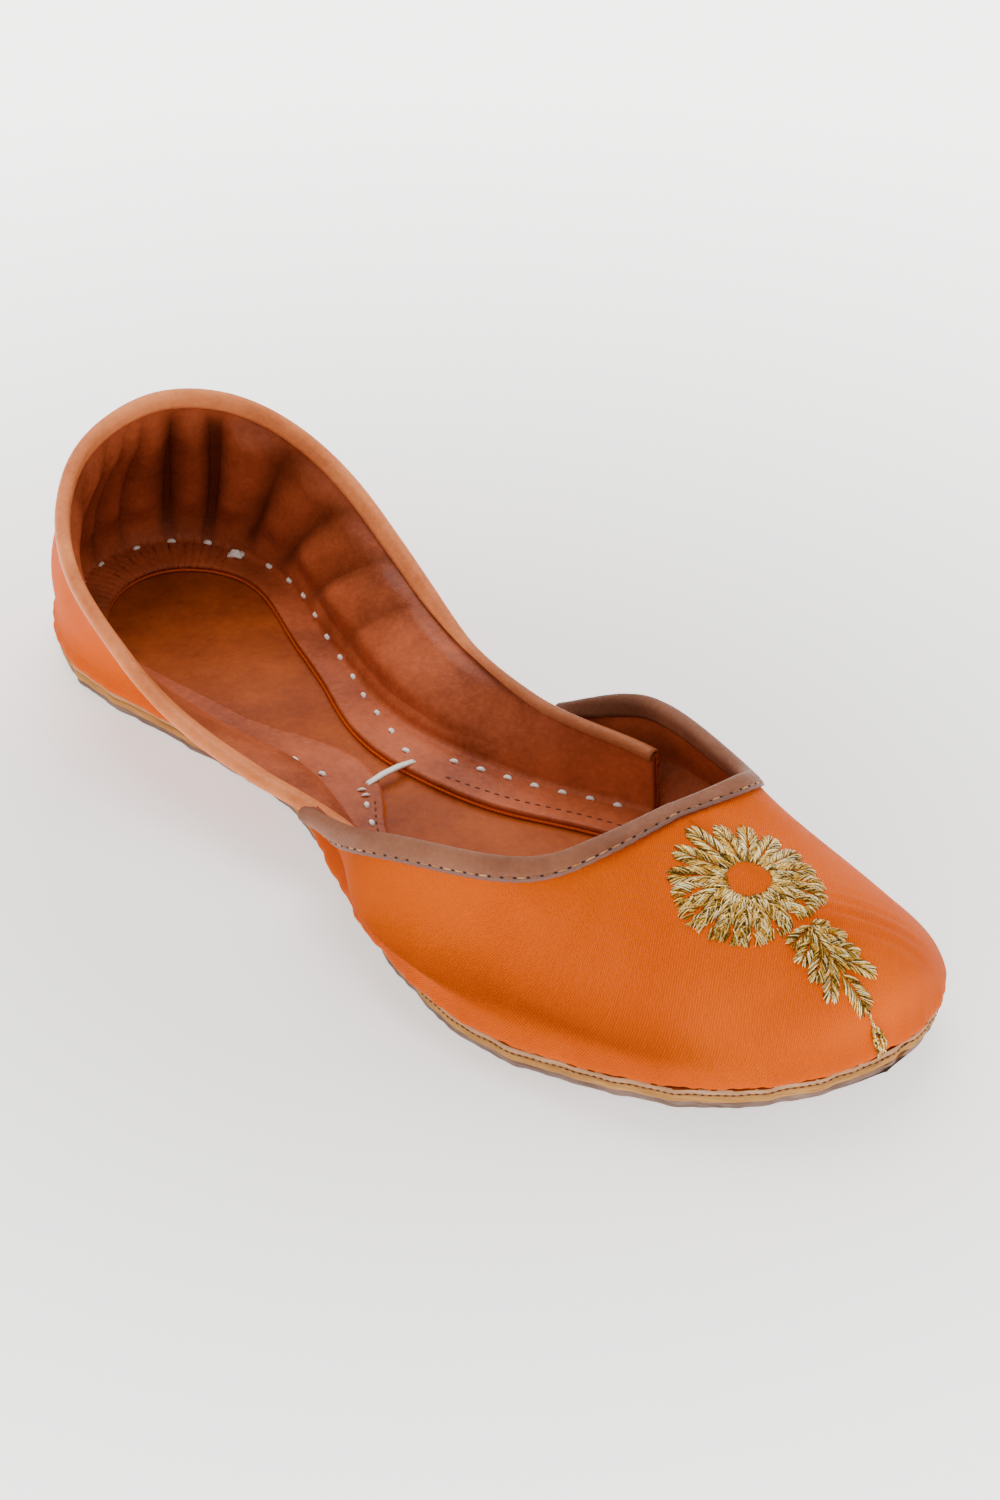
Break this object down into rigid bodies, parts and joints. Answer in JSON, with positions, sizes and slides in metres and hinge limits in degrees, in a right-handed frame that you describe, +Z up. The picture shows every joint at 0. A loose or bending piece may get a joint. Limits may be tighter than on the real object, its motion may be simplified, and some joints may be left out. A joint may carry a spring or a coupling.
{
  "type": "mojari shoe",
  "caption": "Flat slip-on mojari shoe with a round toe, open throat and high leaning heel back, satin-covered leather upper with rolled leather edging on a thin layered leather sole.",
  "frame": {"origin": "bottom centre of the bounding box, on the floor plane that the sole stands on", "axes": "+Y from toe to heel, +Z up, +X toward the wearer's left, the inner side of this right shoe"},
  "size_m": [0.0897, 0.2502, 0.0539],
  "materials": {
    "outsole_leather": "rough grey-brown cut leather",
    "midsole_leather": "matte tan cut leather",
    "insole_leather": "smooth brown leather",
    "satin": "orange satin weave over leather",
    "lining_leather": "smooth brown lining leather",
    "dark_binding": "matte dark brown leather",
    "light_binding": "smooth light brown leather",
    "gold_thread": "metallic gold thread",
    "white_thread": "white cotton thread"
  },
  "bodies": {
    "root": {"outsole": "outsole_leather", "midsole": "midsole_leather", "insole": "insole_leather", "upper_vamp": "satin", "upper_quarter": "satin", "vamp_binding": "dark_binding", "quarter_binding": "light_binding"}
  },
  "joints": []
}
